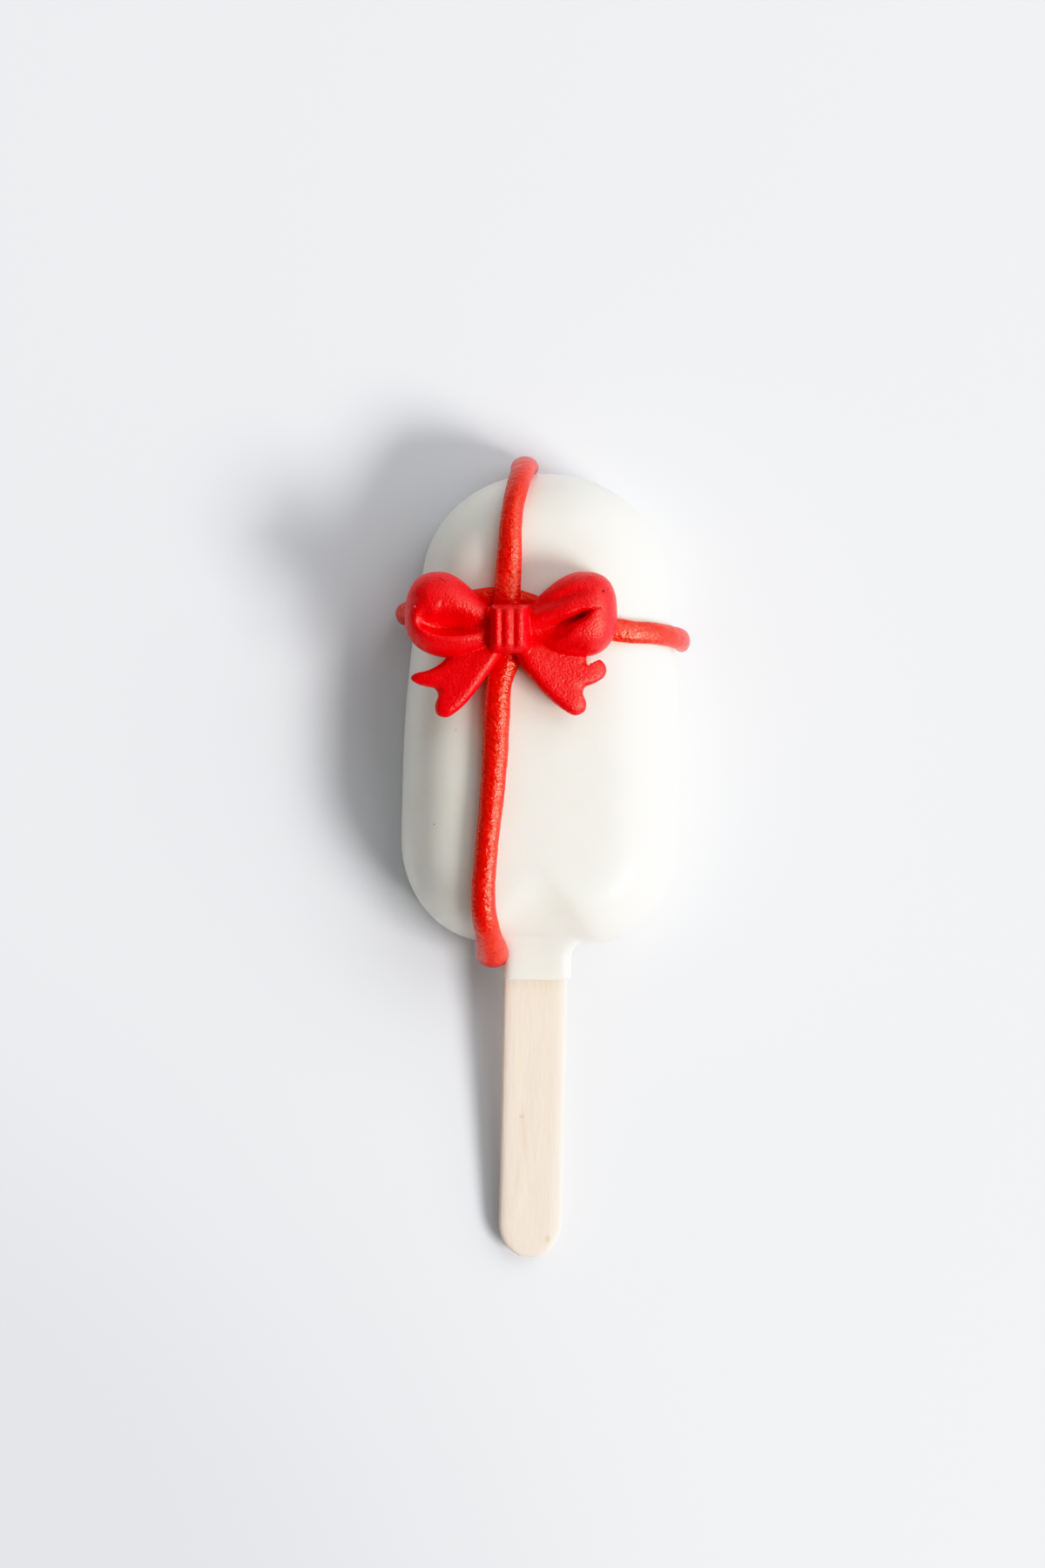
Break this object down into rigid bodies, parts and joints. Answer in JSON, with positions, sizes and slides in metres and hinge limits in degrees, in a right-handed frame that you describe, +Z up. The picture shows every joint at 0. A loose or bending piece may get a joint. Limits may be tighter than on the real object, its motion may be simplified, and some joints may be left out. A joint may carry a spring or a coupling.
{
  "type": "cakesicle",
  "caption": "Small oblong cake slab in a white chocolate coating on a flat wooden stick, tied like a parcel with red paste strings and a moulded red bow",
  "frame": {"origin": "middle of the footprint of the whole piece, on the surface it lies on", "axes": "+Z up through the decorated face, +Y along the shell towards its round end with the stick pointing to -Y, +X across the shell towards the right loop of the bow"},
  "size_m": [0.0466, 0.1266, 0.0301],
  "materials": {
    "white_chocolate": "smooth satin white chocolate, slightly warm",
    "birch": "sanded pale birch, fine straight grain",
    "red_string": "rolled red modelling paste, slightly glossy and uneven",
    "red_bow": "moulded red modelling paste, satin with a fine bloom"
  },
  "bodies": {
    "root": {"shell": "white_chocolate", "stick": "birch", "string_long": "red_string", "string_cross": "red_string", "bow": "red_bow"}
  },
  "joints": []
}
